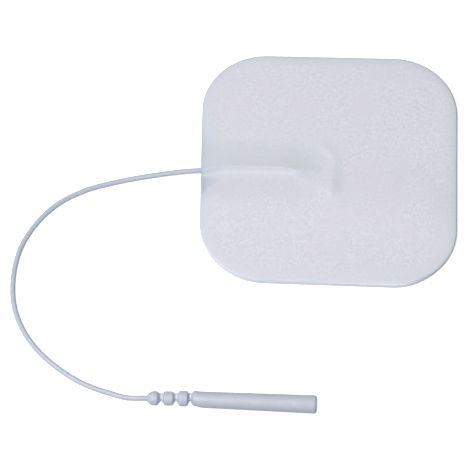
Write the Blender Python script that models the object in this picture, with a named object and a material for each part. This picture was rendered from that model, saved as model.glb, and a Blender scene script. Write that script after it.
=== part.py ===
# Reusable nerve and muscle stimulation pad: a square of cloth, carbon film and
# gel, with a short lead that ends in a moulded plug.
#
# Frame: origin at the middle of the gel's lower face, +Z up. The lead leaves
# the pad's -X side, turns once on the table and comes back towards +X.

import math

import bmesh
import bpy
import numpy as np

MM = 0.001

# Pad outline, die cut through cloth and gel
pad_side = 50.0 * MM
corner_radius = 12.6 * MM
corner_steps = 9

# Layers, from the skin side up
gel_thickness = 0.85 * MM
gel_inset = 0.15 * MM
film_thickness = 0.15 * MM
film_inset = 2.0 * MM
cloth_thickness = 0.6 * MM
layer_gap = 0.05 * MM

# Cloth edge, pressed down round the film
rim_flat = 0.4 * MM

# Lead: jacket diameter, where it lies in the pad, where it leaves the pad, over
# what stretch it turns there, and how far the jacket reaches in
jacket_diameter = 1.0 * MM
jacket_line_y = -0.75 * MM
jacket_exit_y = -1.2 * MM
jacket_turn_in = 5.5 * MM
jacket_stretch_in_pad = 18.8 * MM
lead_point_spacing = 2.2 * MM

# Cloth fold over the lead: the reach of its gentle back, the length over which
# its steep front dies away, how round its crest is, and where it falls beyond
# the jacket's end, first to a lower height and then to nothing
fold_back = 9.0 * MM
fold_front = 0.8 * MM
crest_rounding = 0.45 * MM
crest_falls = 4.2 * MM
crest_over_strands = 0.52 * MM
crest_ends = 8.0 * MM
row_bend_reach = 3.0 * MM

# Raised oval patch over the spread strands, which fades out beside the jacket
patch_from_jacket_x = 2.05 * MM
patch_from_jacket_y = -0.25 * MM
patch_half_width = 4.75 * MM
patch_half_length = 6.65 * MM
patch_soft_edge = 1.6 * MM
patch_fade = 2.5 * MM

# Bare strands, spread flat on the film
strand_count = 9
strand_width = 0.3 * MM
strand_thickness = 0.25 * MM
strand_palm = 2.2 * MM
strand_first_angle = math.radians(-34)
strand_last_angle = math.radians(64)
strand_from_patch_edge = 0.4 * MM
strand_clearance = 0.1 * MM
jacket_to_strands = 0.3 * MM

# Plug: entry point of the lead on the table plan, and directions
plug_entry_x = -34.31 * MM
plug_entry_y = -51.23 * MM
relief_heading = math.radians(0.5)
barrel_heading = math.radians(-1.6)
barrel_step = -0.11 * MM
bend_span = 0.8 * MM
table_gap = 0.02 * MM

# Plug relief: beads, the necks behind them, and the runs over which each bead
# climbs from the neck before it and falls to the neck behind it
bead_radii = (1.43 * MM, 1.35 * MM, 1.53 * MM)
bead_lengths = (2.64 * MM, 2.84 * MM, 2.66 * MM)
neck_radii = (0.76 * MM, 0.72 * MM, 0.81 * MM)
bead_climbs = (1.25 * MM, 0.80 * MM, 0.82 * MM)
bead_falls = (1.05 * MM, 0.87 * MM, 0.70 * MM)
neck_shift = 0.19 * MM
lead_seat_depth = 0.6 * MM
lead_seat_clearance = 0.05 * MM
lead_seat_wall = 0.12 * MM

# Plug barrel
barrel_length = 23.96 * MM
shoulder_radius = 1.45 * MM
shoulder_rise = 0.8 * MM
barrel_start_radius = 1.585 * MM
barrel_ease = 2.4 * MM
barrel_end_radius = 1.775 * MM
end_rounding = 0.62 * MM

# Contact sleeve for a 2 mm pin, and its pocket in the barrel
pin_radius = 1.0 * MM
pin_clearance = 0.02 * MM
sleeve_wall = 0.18 * MM
sleeve_length = 12.0 * MM
sleeve_clearance = 0.05 * MM
sleeve_mouth_flare = 0.05 * MM
sleeve_lead_in = 0.3 * MM
sleeve_recess = 1.0 * MM
mouth_clearance = 0.1 * MM

plug_sides = 32

# Values that follow from the ones above
half_side = pad_side / 2
jacket_radius = jacket_diameter / 2
film_bottom = gel_thickness + layer_gap
film_top = film_bottom + film_thickness
cloth_rim_under = gel_thickness + layer_gap
cloth_flat_under = film_top + layer_gap
jacket_line_z = film_top + layer_gap + jacket_radius
crest_under = jacket_line_z + jacket_radius + layer_gap
jacket_end_x = jacket_stretch_in_pad - half_side
patch_x = jacket_end_x + patch_from_jacket_x
patch_y = jacket_line_y + patch_from_jacket_y
patch_under = cloth_flat_under + strand_thickness + strand_clearance + layer_gap
patch_stretch = patch_half_length / patch_half_width
share_over_strands = crest_over_strands / (crest_under - cloth_flat_under)
relief_length = sum(bead_lengths)
plug_length = relief_length + barrel_length
taper_pitch = math.asin((barrel_end_radius - barrel_start_radius) / barrel_length)
sleeve_radius = pin_radius + pin_clearance + sleeve_wall
pocket_radius = sleeve_radius + sleeve_clearance

# The lead's route in millimetres, chosen by hand: x, y, and for the stretches
# that leave the pad and reach the plug the share of the height still to fall
lead_drop = (
    (-27.5, -1.40, 0.93), (-29.9, -1.64, 0.78), (-32.2, -1.92, 0.59), (-34.5, -2.25, 0.40),
    (-36.9, -2.65, 0.24), (-39.2, -3.10, 0.11), (-41.5, -3.65, 0.03),
)
lead_floor = (
    (-43.8, -4.31), (-46.2, -5.10), (-48.5, -6.15), (-50.8, -7.42), (-53.1, -9.12), (-55.3, -11.35),
    (-57.5, -14.35), (-59.25, -17.72), (-60.4, -21.7), (-60.88, -26.3), (-60.66, -30.3),
    (-59.82, -33.74), (-58.1, -37.48), (-55.2, -41.4), (-50.95, -45.22), (-47.1, -47.7), (-43.8, -49.12),
)
lead_rise = (
    (-41.5, -49.87, 0.06), (-39.2, -50.68, 0.28), (-38.0, -51.00, 0.50), (-36.8, -51.18, 0.78),
    (-35.6, -51.23, 0.97),
)


def smoothstep(value, low, high):
    """Ease from 0 at low to 1 at high."""
    share = np.clip((value - low) / (high - low), 0.0, 1.0)
    return share * share * (3.0 - 2.0 * share)


def make_material(name, color, roughness, metallic=0.0, alpha=1.0):
    material = bpy.data.materials.new(name)
    material.use_nodes = True
    shader = material.node_tree.nodes["Principled BSDF"]
    shader.inputs["Base Color"].default_value = (*color, 1.0)
    shader.inputs["Roughness"].default_value = roughness
    shader.inputs["Metallic"].default_value = metallic
    shader.inputs["Alpha"].default_value = alpha
    return material


def add_object(name, data, material):
    part = bpy.data.objects.new(name, data)
    part.data.materials.append(material)
    bpy.context.scene.collection.objects.link(part)
    return part


def finish_mesh(name, form, sharp_angle=35.0):
    """Turn a bmesh into a mesh whose faces point out and are shaded smooth."""
    bmesh.ops.recalc_face_normals(form, faces=form.faces[:])
    mesh = bpy.data.meshes.new(name)
    form.to_mesh(mesh)
    form.free()
    mesh.shade_smooth()
    mesh.set_sharp_from_angle(angle=math.radians(sharp_angle))
    return mesh


def extrude_outline(name, outline, bottom, thickness):
    """A flat plate: a closed outline in plan, raised by its thickness."""
    form = bmesh.new()
    corners = [form.verts.new((x, y, bottom)) for x, y in outline]
    base = form.faces.new(corners)
    raised = bmesh.ops.extrude_face_region(form, geom=[base])["geom"]
    top = [item for item in raised if isinstance(item, bmesh.types.BMVert)]
    bmesh.ops.translate(form, verts=top, vec=(0.0, 0.0, thickness))
    return finish_mesh(name, form)


def rounded_square(inset):
    """The pad's outline moved in by an inset: four quarter circles, joined by straight sides."""
    radius = corner_radius - inset
    centre = half_side - corner_radius
    points = []
    for quarter in range(4):
        start = quarter * math.pi / 2
        middle = start + math.pi / 4
        centre_x = math.copysign(centre, math.cos(middle))
        centre_y = math.copysign(centre, math.sin(middle))
        for step in range(corner_steps + 1):
            angle = start + step * math.pi / 2 / corner_steps
            points.append((centre_x + radius * math.cos(angle), centre_y + radius * math.sin(angle)))
    return points


def edge_distance(x, y):
    """How far a point lies inside the rounded square's edge."""
    beyond_x = np.abs(x) - (half_side - corner_radius)
    beyond_y = np.abs(y) - (half_side - corner_radius)
    corner = np.hypot(np.maximum(beyond_x, 0.0), np.maximum(beyond_y, 0.0))
    inner = np.minimum(np.maximum(beyond_x, beyond_y), 0.0)
    return corner_radius - corner - inner


def lead_line(x):
    """The lead's y in the pad: straight, but for a gentle turn where it leaves."""
    turned = np.clip(1.0 - (x + half_side) / jacket_turn_in, 0.0, 1.0)
    return jacket_line_y + (jacket_exit_y - jacket_line_y) * turned**2 * (2.0 - turned)


def fold_share(x, y):
    """Share of the crest's height: behind the lead a parabola with a long reach, in front of it
    a steep face that dies away, and along it a fall in two steps beyond the jacket's end."""
    offset = y - lead_line(x)
    rounded = np.sqrt(offset**2 + crest_rounding**2) - crest_rounding
    back = np.clip(1.0 - rounded / fold_back, 0.0, 1.0) ** 2
    front = np.exp(-rounded / fold_front)
    beyond = x - jacket_end_x
    first = (1.0 - share_over_strands) * smoothstep(beyond, jacket_to_strands, crest_falls)
    second = share_over_strands * smoothstep(beyond, crest_falls, crest_ends)
    return np.where(offset > 0.0, back, front) * (1.0 - first - second)


def patch_share(x, y):
    """1 on the raised oval patch, falling to 0 across its soft edge and towards the jacket."""
    distance = np.hypot(x - patch_x, (y - patch_y) / patch_stretch)
    inside = 1.0 - smoothstep(distance, patch_half_width, patch_half_width + patch_soft_edge)
    return inside * smoothstep(x, jacket_end_x - patch_fade, jacket_end_x)


def cloth_underside(x, y):
    """Height of the cloth's lower face: pressed rim, flat over the film, raised over the lead."""
    pressed = smoothstep(edge_distance(x, y), rim_flat, film_inset - rim_flat)
    flat = cloth_rim_under + (cloth_flat_under - cloth_rim_under) * pressed
    patch = flat + (patch_under - flat) * patch_share(x, y)
    return np.maximum(patch, flat + (crest_under - flat) * fold_share(x, y))


def cloth_rows():
    """Row places across the pad: close together beside the lead and round the corners."""
    straight = half_side - corner_radius
    steps = 13
    behind = [jacket_line_y + (straight - jacket_line_y) * (k / steps) ** 1.9 for k in range(1, steps)]
    ahead = [jacket_line_y - (straight + jacket_line_y) * (k / steps) ** 1.9 for k in range(1, steps)]
    angles = [step * math.pi / 2 / corner_steps for step in range(corner_steps + 1)]
    corner = [straight + corner_radius * math.sin(angle) for angle in angles]
    return np.array(sorted([-y for y in corner] + ahead + [jacket_line_y] + behind + corner))


def cloth_columns():
    """Column places as shares of a row's half width: close together at the rim and the patch."""
    rim = [0.0, rim_flat, film_inset / 2, film_inset]
    left = [inset - half_side for inset in rim]
    right = [half_side - inset for inset in rim]
    patch_end = patch_x + patch_half_width + patch_soft_edge
    jacket = list(np.linspace(film_inset - half_side, jacket_end_x, 10)[1:-1])
    raised = list(np.linspace(jacket_end_x, patch_end, 17))
    beyond = list(np.linspace(patch_end, half_side - film_inset, 8)[1:-1])
    return np.array(sorted(left + jacket + raised + beyond + right)) / half_side


def make_cloth():
    """A sheet laid over film and lead, then raised by its own thickness. Its rows bend with the lead."""
    rows = cloth_rows()
    over = np.maximum(np.abs(rows) - (half_side - corner_radius), 0.0)
    reach = half_side - corner_radius + np.sqrt(np.maximum(corner_radius**2 - over**2, 0.0))
    x = reach[:, None] * cloth_columns()[None, :]
    bend = 1.0 - smoothstep(np.abs(rows - jacket_line_y), row_bend_reach, half_side - corner_radius)
    y = rows[:, None] + (lead_line(x) - jacket_line_y) * bend[:, None]
    z = cloth_underside(x, y)
    form = bmesh.new()
    grid = [[form.verts.new(place) for place in zip(*line)] for line in zip(x, y, z)]
    sheet = []
    for near, far in zip(grid, grid[1:]):
        for corners in zip(near, near[1:], far[1:], far):
            sheet.append(form.faces.new(corners))
    raised = bmesh.ops.extrude_face_region(form, geom=sheet)["geom"]
    top = [item for item in raised if isinstance(item, bmesh.types.BMVert)]
    bmesh.ops.translate(form, verts=top, vec=(0.0, 0.0, cloth_thickness))
    return finish_mesh("backing_cloth", form)


def strand_reach(angle, root_x, root_y):
    """Distance from the strands' root to the edge of the raised patch along an angle."""
    away_x = root_x - patch_x
    away_y = (root_y - patch_y) / patch_stretch
    step_x = math.cos(angle)
    step_y = math.sin(angle) / patch_stretch
    limit = patch_half_width - strand_from_patch_edge
    square = step_x**2 + step_y**2
    half_linear = away_x * step_x + away_y * step_y
    rest = away_x**2 + away_y**2 - limit**2
    return (math.sqrt(half_linear**2 - square * rest) - half_linear) / square


def make_strands():
    """The bare conductor, spread like a hand: a palm at the jacket and free strands beyond it."""
    root_x = jacket_end_x + jacket_to_strands
    root_y = jacket_line_y
    half_width = strand_width / 2
    outline = [(root_x, root_y + half_width), (root_x, root_y - half_width)]
    for angle in np.linspace(strand_first_angle, strand_last_angle, strand_count):
        reach = strand_reach(angle, root_x, root_y)
        for distance, side in ((strand_palm, -1), (reach, -1), (reach, 1), (strand_palm, 1)):
            along_x = distance * math.cos(angle) - side * half_width * math.sin(angle)
            along_y = distance * math.sin(angle) + side * half_width * math.cos(angle)
            outline.append((root_x + along_x, root_y + along_y))
    return extrude_outline("conductor_strands", outline, film_top + layer_gap, strand_thickness)


def plug_axis():
    """The plug's centre line, straight but for one small turn and step at the last neck.

    Gives distances along it, the places there as rows, and the headings.
    """
    distance = np.linspace(0.0, plug_length, 401)
    turned = np.clip((distance - relief_length) / bend_span + 0.5, 0.0, 1.0)
    heading = relief_heading + (barrel_heading - relief_heading) * turned
    middle = (heading[1:] + heading[:-1]) / 2
    step = np.diff(distance) * math.cos(taper_pitch)
    x = plug_entry_x + np.concatenate(([0.0], np.cumsum(step * np.cos(middle))))
    y = plug_entry_y + np.concatenate(([0.0], np.cumsum(step * np.sin(middle)))) + barrel_step * turned
    rise = (distance - relief_length) * math.sin(taper_pitch)
    z = table_gap + barrel_start_radius / math.cos(taper_pitch) + rise
    return distance, np.column_stack((x, y, z)), heading


def plug_frame(along):
    """Centre of the plug's section at a distance along it, with its sideways and upward directions."""
    distance, places, headings = plug_axis()
    heading = np.interp(along, distance, headings)
    centre = np.array([np.interp(along, distance, places[:, axis]) for axis in range(3)])
    side = np.array([-math.sin(heading), math.cos(heading), 0.0])
    forward = np.array([math.cos(heading), math.sin(heading), math.tan(taper_pitch)])
    up = np.cross(forward / np.linalg.norm(forward), side)
    return centre, side, up


def notch_shift(along, radius):
    """Sideways shift of the relief's narrow necks, whose notches are deeper on the near side."""
    narrowest = min(neck_radii)
    if radius < narrowest or not 0.0 < along < relief_length + shoulder_rise:
        return 0.0
    return neck_shift * max(0.0, 1.0 - (radius - narrowest) / narrowest)


def turned_on_plug(name, profile, closed=False, notched=False):
    """Turn a profile of (distance, radius) points round the plug's centre line.

    A point with no radius closes the form at a pole. With closed, the last
    point joins the first, as in a tube's wall. With notched, the relief's
    necks are shifted sideways.
    """
    angles = np.arange(plug_sides) * 2.0 * math.pi / plug_sides
    form = bmesh.new()
    rings = []
    for along, radius in profile:
        centre, side, up = plug_frame(along)
        if radius == 0.0:
            rings.append([form.verts.new(centre)])
            continue
        if notched:
            centre = centre + side * notch_shift(along, radius)
        places = centre + radius * (np.cos(angles)[:, None] * side + np.sin(angles)[:, None] * up)
        rings.append([form.verts.new(place) for place in places])
    pairs = list(zip(rings, rings[1:]))
    if closed:
        pairs.append((rings[-1], rings[0]))
    for near, far in pairs:
        for k in range(plug_sides):
            after = (k + 1) % plug_sides
            if len(near) == 1:
                form.faces.new((near[0], far[k], far[after]))
            elif len(far) == 1:
                form.faces.new((near[k], near[after], far[0]))
            else:
                form.faces.new((near[k], near[after], far[after], far[k]))
    return finish_mesh(name, form)


def slope_profile(start, run, low, high, power=2):
    """Points from a low to a high radius: a quarter wave of sine raised to a power.

    Power 1 leaves the low end steeply, as a ball does, and power 2 eases both
    ends. A negative run counts back from the start, for a slope that falls.
    """
    shares = np.linspace(0.0, 1.0, 5)
    points = [(start + run * share, low + (high - low) * math.sin(math.pi / 2 * share) ** power)
              for share in shares]
    return points if run > 0.0 else points[::-1]


def relief_profile(before):
    """The three beads: each climbs from the neck before it and falls to the neck behind it."""
    points = []
    start = 0.0
    beads = zip(bead_lengths, bead_radii, neck_radii, bead_climbs, bead_falls)
    for number, (length, crest, after, climb, fall) in enumerate(beads):
        power = 1 if number == 0 else 2
        points += slope_profile(start, climb, before, crest, power)
        points += slope_profile(start + length, -fall, after, crest)[:-1]
        start += length
        before = after
    return points


def make_plug_body():
    """Beaded relief, tapered barrel with a rounded end, and the socket's pocket, as one profile."""
    seat_radius = jacket_radius + lead_seat_clearance
    profile = [(lead_seat_depth, 0.0), (lead_seat_depth, seat_radius), (0.0, seat_radius)]
    profile += relief_profile(seat_radius + lead_seat_wall)
    profile += slope_profile(relief_length, shoulder_rise, neck_radii[-1], shoulder_radius)
    for share in np.linspace(0.0, 1.0, 5)[1:]:
        ease = 1.0 - (1.0 - share) ** 2
        radius = shoulder_radius + (barrel_start_radius - shoulder_radius) * ease
        profile.append((relief_length + shoulder_rise + barrel_ease * share, radius))
    for step in range(5):
        angle = step * math.pi / 8
        inward = end_rounding * (1.0 - math.cos(angle))
        profile.append((plug_length - end_rounding * (1.0 - math.sin(angle)), barrel_end_radius - inward))
    mouth_radius = pin_radius + mouth_clearance
    pocket_end = plug_length - sleeve_recess
    pocket_start = pocket_end - sleeve_length - 2 * sleeve_clearance
    profile += [(plug_length, mouth_radius), (pocket_end, mouth_radius), (pocket_end, pocket_radius)]
    profile += [(pocket_start, pocket_radius), (pocket_start, 0.0)]
    return turned_on_plug("plug_body", profile, notched=True)


def make_sleeve():
    """The contact: a thin tube in the pocket, its mouth opened a little for the pin."""
    end = plug_length - sleeve_recess - sleeve_clearance
    start = end - sleeve_length
    bore = pin_radius + pin_clearance
    flare = bore + sleeve_mouth_flare
    profile = [(start, sleeve_radius), (end, sleeve_radius), (end, flare)]
    profile += [(end - sleeve_lead_in, bore), (start, bore)]
    return turned_on_plug("socket_sleeve", profile, closed=True)


def lead_route():
    """The lead's points in metres, from the jacket's end in the pad to its seat in the plug."""
    mouth = plug_frame(0.0)[0]
    seat = plug_frame(lead_seat_depth - 2 * lead_seat_clearance)[0]
    fall = jacket_line_z - jacket_radius
    rise = mouth[2] - jacket_radius
    inside = np.linspace(jacket_end_x, -half_side, 9)
    points = [(x, lead_line(x), jacket_line_z) for x in inside]
    points += [(x * MM, y * MM, jacket_radius + share * fall) for x, y, share in lead_drop]
    points += [(x * MM, y * MM, jacket_radius) for x, y in lead_floor]
    points += [(x * MM, y * MM, jacket_radius + share * rise) for x, y, share in lead_rise]
    return np.array(points + [mouth, seat])


def smooth_line(points, spacing):
    """A smooth curve through points: each stretch is a cubic whose slopes come from its
    neighbours, read again at equal steps along its length."""
    chord = np.linalg.norm(np.diff(points, axis=0), axis=1)
    place = np.concatenate(([0.0], np.cumsum(chord)))
    slope = np.gradient(points, place, axis=0)
    fine = []
    for k, length in enumerate(chord):
        t = np.linspace(0.0, 1.0, 24, endpoint=False)[:, None]
        start = (2 * t**3 - 3 * t**2 + 1) * points[k] + (t**3 - 2 * t**2 + t) * length * slope[k]
        end = (3 * t**2 - 2 * t**3) * points[k + 1] + (t**3 - t**2) * length * slope[k + 1]
        fine.append(start + end)
    fine = np.vstack(fine + [points[-1:]])
    travelled = np.concatenate(([0.0], np.cumsum(np.linalg.norm(np.diff(fine, axis=0), axis=1))))
    count = int(round(travelled[-1] / spacing)) + 1
    steps = np.linspace(0.0, travelled[-1], count)
    return np.column_stack([np.interp(steps, travelled, fine[:, axis]) for axis in range(3)])


def make_lead():
    """The jacket: a round tube with filled ends along the lead's route."""
    line = smooth_line(lead_route(), lead_point_spacing)
    line[:, 2] = np.maximum(line[:, 2], jacket_radius)
    curve = bpy.data.curves.new("lead_wire", "CURVE")
    curve.dimensions = "3D"
    curve.bevel_depth = jacket_radius
    curve.bevel_resolution = 2
    curve.use_fill_caps = True
    spline = curve.splines.new("POLY")
    spline.points.add(len(line) - 1)
    for point, place in zip(spline.points, line):
        point.co = (*place, 1.0)
    return curve


def clear_scene():
    for item in list(bpy.context.scene.objects):
        bpy.data.objects.remove(item, do_unlink=True)


def main():
    clear_scene()
    cloth_white = make_material("cloth_white", (0.70, 0.70, 0.76), 0.9)
    carbon_black = make_material("carbon_black", (0.02, 0.02, 0.022), 0.55)
    clear_gel = make_material("clear_gel", (0.66, 0.70, 0.76), 0.15, alpha=0.85)
    jacket_white = make_material("jacket_white", (0.62, 0.65, 0.74), 0.45)
    strand_grey = make_material("strand_grey", (0.12, 0.12, 0.13), 0.4, metallic=0.6)
    plug_white = make_material("plug_white", (0.60, 0.63, 0.72), 0.4)
    contact_metal = make_material("contact_metal", (0.75, 0.66, 0.42), 0.3, metallic=1.0)

    gel = extrude_outline("hydrogel", rounded_square(gel_inset), 0.0, gel_thickness)
    film = extrude_outline("carbon_film", rounded_square(film_inset), film_bottom, film_thickness)
    add_object("hydrogel", gel, clear_gel)
    add_object("carbon_film", film, carbon_black)
    add_object("backing_cloth", make_cloth(), cloth_white)
    add_object("conductor_strands", make_strands(), strand_grey)
    add_object("lead_wire", make_lead(), jacket_white)
    add_object("plug_body", make_plug_body(), plug_white)
    add_object("socket_sleeve", make_sleeve(), contact_metal)


main()
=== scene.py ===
"""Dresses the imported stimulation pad: cloth, gel, film, lead and plug, with a plain stage.

The file is laid out as an add-on and is run as a script. Every surface is
worked out as whole numpy arrays, in metres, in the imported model's own frame.
"""

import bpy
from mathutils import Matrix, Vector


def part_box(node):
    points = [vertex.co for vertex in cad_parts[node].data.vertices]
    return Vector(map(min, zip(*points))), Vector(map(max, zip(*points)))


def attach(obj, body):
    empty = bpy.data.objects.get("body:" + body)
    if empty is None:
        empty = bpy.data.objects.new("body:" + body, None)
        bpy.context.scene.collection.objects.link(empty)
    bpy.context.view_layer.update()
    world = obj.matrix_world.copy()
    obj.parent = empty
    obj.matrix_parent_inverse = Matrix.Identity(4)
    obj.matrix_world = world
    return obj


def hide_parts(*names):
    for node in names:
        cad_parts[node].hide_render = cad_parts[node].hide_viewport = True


bl_info = {
    "name": "Stimulation Pad Dresser",
    "version": (1, 0, 0),
    "blender": (4, 5, 0),
    "location": "3D View > Sidebar > Pad",
    "description": "Builds the visible surfaces of a gel stimulation pad round its solid model",
    "category": "Object",
}

import math

import bpy
import numpy as np
from bpy.props import FloatProperty, FloatVectorProperty, IntProperty, PointerProperty
from bpy.types import Operator, Panel, PropertyGroup
from mathutils import Matrix, Vector

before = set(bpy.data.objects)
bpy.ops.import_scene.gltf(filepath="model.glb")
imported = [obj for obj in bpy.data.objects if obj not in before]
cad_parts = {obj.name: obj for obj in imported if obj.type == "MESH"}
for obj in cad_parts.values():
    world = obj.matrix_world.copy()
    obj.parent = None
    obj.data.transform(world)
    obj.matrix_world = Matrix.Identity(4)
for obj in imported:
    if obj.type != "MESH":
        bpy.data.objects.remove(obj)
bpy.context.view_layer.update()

MM = 0.001
BODY = "root"
SHARP_ANGLE = math.radians(40)

# Places that the solid model gives
CLOTH_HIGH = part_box("backing_cloth")[1]
FILM_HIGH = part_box("carbon_film")[1]
GEL_LOW, GEL_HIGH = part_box("hydrogel")
STRANDS_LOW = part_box("conductor_strands")[0]
HALF_SIDE = CLOTH_HIGH.x

# Places that the solid model's source gives too
CORNER_RADIUS = 12.6 * MM
LAYER_GAP = 0.05 * MM
JACKET_LINE_Y = -0.75 * MM
JACKET_EXIT_Y = -1.2 * MM
JACKET_TURN_IN = 5.5 * MM
JACKET_END_X = -6.2 * MM
JACKET_RADIUS = 0.5 * MM

# The lead's route, as in the solid model's source: x, y in millimetres, and
# beside the pad and the plug the share of the height still to fall
LEAD_DROP = (
    (-27.5, -1.40, 0.93), (-29.9, -1.64, 0.78), (-32.2, -1.92, 0.59), (-34.5, -2.25, 0.40),
    (-36.9, -2.65, 0.24), (-39.2, -3.10, 0.11), (-41.5, -3.65, 0.03),
)
LEAD_FLOOR = (
    (-43.8, -4.31), (-46.2, -5.10), (-48.5, -6.15), (-50.8, -7.42), (-53.1, -9.12), (-55.3, -11.35),
    (-57.5, -14.35), (-59.25, -17.72), (-60.4, -21.7), (-60.88, -26.3), (-60.66, -30.3),
    (-59.82, -33.74), (-58.1, -37.48), (-55.2, -41.4), (-50.95, -45.22), (-47.1, -47.7), (-43.8, -49.12),
)
LEAD_RISE = (
    (-41.5, -49.87, 0.06), (-39.2, -50.68, 0.28), (-38.0, -51.00, 0.50), (-36.8, -51.18, 0.78),
    (-35.6, -51.23, 0.97),
)
LEAD_SEAT = 0.5 * MM

# The plug's place on the table, where the lead enters it, and its sections from there to its blunt
# end. The barrel turns and steps aside from the relief over a short bend.
PLUG_ENTRY = (-34.31 * MM, -51.23 * MM)
RELIEF_HEADING = math.radians(0.5)
BARREL_HEADING = math.radians(-1.6)
BARREL_STEP = -0.11 * MM
BEND_LENGTH = 0.8 * MM
TABLE_GAP = 0.02 * MM
SEAT_DEPTH = 0.6 * MM
SEAT_RADIUS = 0.55 * MM
ENTRY_RADIUS = 0.66 * MM
BEAD_RADII = (1.43 * MM, 1.40 * MM, 1.53 * MM)
BEAD_LENGTHS = (2.64 * MM, 2.84 * MM, 2.66 * MM)
BEAD_CLIMBS = (1.25 * MM, 0.80 * MM, 0.82 * MM)
BEAD_FALLS = (1.05 * MM, 0.87 * MM, 0.70 * MM)
NECK_RADII = (0.65 * MM, 0.61 * MM, 0.70 * MM)
RELIEF_LENGTH = sum(BEAD_LENGTHS)
SHOULDER_RADIUS = 1.45 * MM
SHOULDER_RISE = 0.8 * MM
BARREL_EASE = 2.4 * MM
BARREL_LENGTH = 24.36 * MM
BARREL_START_RADIUS = 1.57 * MM
BARREL_END_RADIUS = 1.775 * MM
END_ROUNDING = 0.60 * MM
MOUTH_RADIUS = 1.1 * MM
PLUG_LENGTH = RELIEF_LENGTH + BARREL_LENGTH
PITCH = math.asin((BARREL_END_RADIUS - BARREL_START_RADIUS) / BARREL_LENGTH)

# The metal sleeve and the pocket that it sits in
SLEEVE_RADIUS = 1.2 * MM
SLEEVE_BORE = 1.02 * MM
SLEEVE_LENGTH = 12.0 * MM
SLEEVE_RECESS = 1.0 * MM
SLEEVE_GAP = 0.05 * MM
POCKET_RADIUS = 1.25 * MM
CLOSED_RADIUS = 0.02 * MM

# The stage: the key lamp is a little warm, and the light from above and all round a little cool
KEY_PLACE = (-0.365, -0.30, 0.705)
KEY_SIZE = 0.45
KEY_TINT = (1.0, 0.86, 0.925)
TOP_PLACE = (0.0, -0.25, 1.6)
TOP_SIZE = 1.6
FILL_TINT = (0.66, 1.0, 0.86)
LOOK_AT = (-18.131 * MM, -14.457 * MM, 0.0)
FLOOR_HALF = 3.0
FLOOR_LEVEL = -0.02 * MM
FLOOR_COLOR = (0.42, 0.43, 0.47, 1.0)
FLOOR_GLOW = 0.85
BLACK = (0.0, 0.0, 0.0, 1.0)
WHITE = (1.0, 1.0, 1.0, 1.0)


def length_property(name, description, default):
    """A length in metres, among a user's settings."""
    return FloatProperty(name=name, description=description, default=default, unit="LENGTH")


def angle_property(name, description, degrees):
    """An angle whose default is written in degrees."""
    return FloatProperty(
        name=name, description=description, default=math.radians(degrees), subtype="ANGLE")


def color_property(name, description, default):
    """A colour of three channels from 0 to 1."""
    return FloatVectorProperty(
        name=name, description=description, default=default, subtype="COLOR", size=3, min=0.0, max=1.0)


class PadSettings(PropertyGroup):
    corner_radius: length_property("Corner Radius", "Radius of the die cut corners", CORNER_RADIUS)
    cloth_thickness: length_property("Cloth Thickness", "Thickness of the nonwoven cloth", 0.6 * MM)
    edge_rounding: length_property(
        "Edge Rounding", "How far the cloth's cut edge is rounded", 0.36 * MM)
    fold_back: length_property(
        "Back Fold", "Reach of the cloth's long slope behind the lead", 7.2 * MM)
    fold_front: length_property(
        "Front Fold", "Length over which the steep face before the lead dies away", 0.40 * MM)
    crest_rounding: length_property(
        "Crest Rounding", "Softness of the cloth's crest over the lead", 0.25 * MM)
    mouth_flare: length_property(
        "Mouth Flare", "How far the crest leans to the front at the edge", 0.7 * MM)
    patch_rise: length_property(
        "Patch Rise", "Height of the raised rim over the ends of the strands", 0.32 * MM)
    cloth_color: color_property("Cloth Color", "Color of the nonwoven cloth", (0.69, 0.691, 0.746))
    gel_color: color_property("Gel Color", "Color of the clear gel at its rim", (0.93, 0.975, 1.0))
    film_color: color_property("Film Color", "Color of the carbon film", (0.020, 0.020, 0.022))
    strand_count: IntProperty(
        name="Strands", description="Number of bare strands spread on the film",
        default=36, min=5, max=80)


class LeadSettings(PropertyGroup):
    diameter: length_property("Diameter", "Diameter of the lead's jacket", 2.0 * JACKET_RADIUS)
    color: color_property("Jacket Color", "Color of the lead's jacket", (0.50, 0.515, 0.575))
    sides: IntProperty(name="Sides", description="Faces round the jacket", default=28, min=8, max=64)


class PlugSettings(PropertyGroup):
    color: color_property("Plug Color", "Color of the moulded plug", (0.507, 0.525, 0.598))
    contact_color: color_property(
        "Contact Color", "Color of the socket's metal sleeve", (0.72, 0.62, 0.40))
    neck_shift: length_property(
        "Neck Shift", "How far the relief's necks sit away from the near side", 0.32 * MM)
    seam_height: length_property(
        "Seam Height", "Height of the fine seam that the mould leaves", 0.025 * MM)
    sides: IntProperty(name="Sides", description="Faces round the plug", default=96, min=16, max=192)


class StageSettings(PropertyGroup):
    elevation: angle_property("Elevation", "Camera's angle above the table", 61.609)
    azimuth: angle_property("Azimuth", "Camera's turn to the right of straight ahead", 0.558)
    roll: angle_property("Roll", "Camera's roll, anticlockwise", 1.727)
    distance: length_property("Distance", "From the camera to the point that it looks at", 1.4)
    lens: FloatProperty(name="Lens", description="Focal length in millimetres", default=552.09)
    key_strength: FloatProperty(
        name="Key Light", description="Radiance of the soft lamp before the pad, on the left", default=8.85)
    top_strength: FloatProperty(
        name="Top Light", description="Radiance of the large soft lamp above the pad", default=0.55)
    sky_strength: FloatProperty(
        name="Sky Light", description="Level of the even light from all round", default=0.164)


def smoothstep(value, low, high):
    """Ease from 0 at low to 1 at high: three times the share squared less twice its cube."""
    share = np.clip((value - low) / (high - low), 0.0, 1.0)
    return share * share * (3.0 - 2.0 * share)


def fade(value, low, high):
    """Ease from 1 at low to 0 at high."""
    return 1.0 - smoothstep(value, low, high)


def hill(value, centre, width):
    """A smooth bump of height 1: e to the minus square of the distance over the width."""
    return np.exp(-(((value - centre) / width) ** 2))


def sums(steps):
    """The sum of the steps so far, from 0 before the first."""
    return np.concatenate(([0.0], np.cumsum(steps)))


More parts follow.
